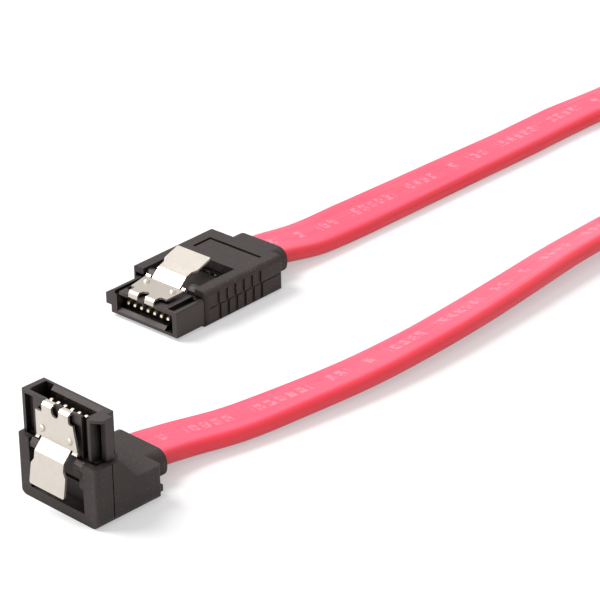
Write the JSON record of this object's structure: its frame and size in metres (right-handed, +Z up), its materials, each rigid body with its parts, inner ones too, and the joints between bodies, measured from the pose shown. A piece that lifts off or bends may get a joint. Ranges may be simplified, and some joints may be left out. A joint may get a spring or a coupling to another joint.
{
  "type": "flat data cable",
  "caption": "Flat red data cable with a straight plug at one end and a right-angle plug at the other, each with a spring latch that is pressed to release it.",
  "frame": {"origin": "on the surface that both plugs rest on, below the middle of the box around the two plugs", "axes": "+X along the cable away from the plugs, +Y from the right-angle plug towards the straight plug's side, +Z up from the surface"},
  "size_m": [0.2687, 0.0586, 0.0143],
  "materials": {
    "contact_housing": "moulded warm black, satin",
    "overmould": "soft moulded warm black, fine grain",
    "latch_steel": "stamped stainless, satin",
    "contact_gold": "gold plated",
    "solder_sleeve": "moulded dark grey",
    "core_insulation": "natural white insulation",
    "drain_wire": "tinned copper",
    "cable_jacket": "soft red jacket, satin, pale printed dashes"
  },
  "bodies": {
    "cable_and_plugs": {"straight_contact_housing": "contact_housing", "straight_contact_1": "contact_gold", "straight_contact_2": "contact_gold", "straight_contact_3": "contact_gold", "straight_contact_4": "contact_gold", "straight_contact_5": "contact_gold", "straight_contact_6": "contact_gold", "straight_contact_7": "contact_gold", "straight_overmould": "overmould", "straight_solder_sleeve": "solder_sleeve", "straight_core_1": "core_insulation", "straight_core_2": "core_insulation", "straight_core_3": "core_insulation", "straight_core_4": "core_insulation", "straight_drain_1": "drain_wire", "straight_drain_2": "drain_wire", "straight_drain_3": "drain_wire", "angled_contact_housing": "contact_housing", "angled_contact_1": "contact_gold", "angled_contact_2": "contact_gold", "angled_contact_3": "contact_gold", "angled_contact_4": "contact_gold", "angled_contact_5": "contact_gold", "angled_contact_6": "contact_gold", "angled_contact_7": "contact_gold", "angled_overmould": "overmould", "angled_solder_sleeve": "solder_sleeve", "angled_core_1": "core_insulation", "angled_core_2": "core_insulation", "angled_core_3": "core_insulation", "angled_core_4": "core_insulation", "angled_drain_1": "drain_wire", "angled_drain_2": "drain_wire", "angled_drain_3": "drain_wire", "cable": "cable_jacket"},
    "straight_latch": {"straight_latch_spring": "latch_steel"},
    "angled_latch": {"angled_latch_spring": "latch_steel"}
  },
  "joints": [
    {"name": "straight_latch_press", "type": "hinge", "parent": "cable_and_plugs", "child": "straight_latch", "pos_m": [0.01016, 0.01387, 0.0044], "axis": [0, 1, 0], "range_deg": [0, 5], "stiffness_Nm_per_rad": 0.5},
    {"name": "angled_latch_press", "type": "hinge", "parent": "cable_and_plugs", "child": "angled_latch", "pos_m": [-0.03149, -0.01305, 0.0137], "axis": [-0.0406, -0.9992, 0], "range_deg": [0, 5], "stiffness_Nm_per_rad": 0.5}
  ]
}
